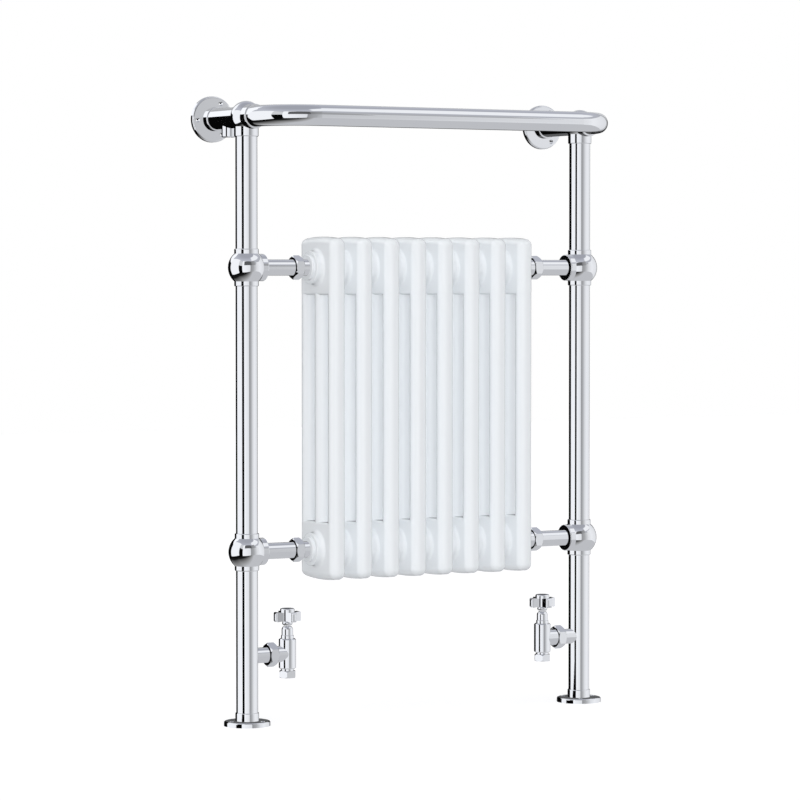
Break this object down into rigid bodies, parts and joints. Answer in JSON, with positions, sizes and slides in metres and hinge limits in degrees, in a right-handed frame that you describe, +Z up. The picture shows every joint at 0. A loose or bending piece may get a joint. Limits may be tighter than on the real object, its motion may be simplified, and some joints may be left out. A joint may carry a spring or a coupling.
{
  "type": "radiator with valve",
  "caption": "Traditional heated towel rail: a white column radiator held in a chromed tube frame with an overhanging top rail, wall stays and cross-handle angle valves.",
  "frame": {"origin": "on the floor, midway between the two uprights' axes", "axes": "+X along the radiator to the side without the air valve, +Y to the wall, +Z up"},
  "size_m": [0.676, 0.232, 0.9645],
  "materials": {
    "chrome": "polished",
    "white_enamel": "gloss",
    "brass": "turned",
    "fibre_rubber": "matt",
    "steel": "turned"
  },
  "bodies": {
    "frame": {"air_valve_body": "chrome", "air_valve_plug": "chrome", "base_flange_left": "chrome", "base_flange_right": "chrome", "bonnet_left": "chrome", "bonnet_right": "chrome", "compression_nut_left": "chrome", "compression_nut_right": "chrome", "link_nipples": "chrome", "link_nuts": "chrome", "link_tube_lower_left": "chrome", "link_tube_lower_right": "chrome", "link_tube_upper_left": "chrome", "link_tube_upper_right": "chrome", "lower_ball_left": "chrome", "lower_ball_right": "chrome", "lower_upright_left": "chrome", "lower_upright_right": "chrome", "middle_upright_left": "chrome", "middle_upright_right": "chrome", "olives": "brass", "radiator_section_1": "white_enamel", "radiator_section_2": "white_enamel", "radiator_section_3": "white_enamel", "radiator_section_4": "white_enamel", "radiator_section_5": "white_enamel", "radiator_section_6": "white_enamel", "radiator_section_7": "white_enamel", "radiator_section_8": "white_enamel", "reducing_bushes": "white_enamel", "stay_tube_left": "chrome", "stay_tube_right": "chrome", "tee_left": "chrome", "tee_right": "chrome", "top_rail": "chrome", "union_washers": "fibre_rubber", "upper_ball_left": "chrome", "upper_ball_right": "chrome", "upper_upright_left": "chrome", "upper_upright_right": "chrome", "valve_body_left": "chrome", "valve_body_right": "chrome", "valve_tail_left": "chrome", "valve_tail_right": "chrome", "valve_union_nut_left": "chrome", "valve_union_nut_right": "chrome", "wall_flange_left": "chrome", "wall_flange_right": "chrome"},
    "valve_left_jumper": {"jumper_left": "brass"},
    "valve_left_handle": {"spindle_left": "brass", "handle_left": "chrome", "handle_screw_left": "steel", "handle_cap_left": "chrome"},
    "valve_right_jumper": {"jumper_right": "brass"},
    "valve_right_handle": {"spindle_right": "brass", "handle_right": "chrome", "handle_screw_right": "steel", "handle_cap_right": "chrome"},
    "air_valve_key": {"air_valve_screw": "chrome"}
  },
  "joints": [
    {"name": "valve_left_lift", "type": "slide", "parent": "frame", "child": "valve_left_jumper", "axis": [0, 0, 1], "range_m": [0, 0.0045]},
    {"name": "valve_left_turn", "type": "hinge", "parent": "valve_left_jumper", "child": "valve_left_handle", "pos_m": [-0.2325, 0, 0.15], "axis": [0, 0, 1], "range_deg": [0, 1080]},
    {"name": "valve_right_lift", "type": "slide", "parent": "frame", "child": "valve_right_jumper", "axis": [0, 0, 1], "range_m": [0, 0.0045]},
    {"name": "valve_right_turn", "type": "hinge", "parent": "valve_right_jumper", "child": "valve_right_handle", "pos_m": [0.2325, 0, 0.15], "axis": [0, 0, 1], "range_deg": [0, 1080]},
    {"name": "air_valve_turn", "type": "hinge", "parent": "frame", "child": "air_valve_key", "pos_m": [-0.3025, 0.058, 0.91], "axis": [0, 0, 1], "range_deg": [0, 360]}
  ],
  "couplings": [
    {"joint": "valve_left_turn", "follows": "valve_left_lift", "rad_per_m": 4188.8},
    {"joint": "valve_right_turn", "follows": "valve_right_lift", "rad_per_m": 4188.8}
  ]
}
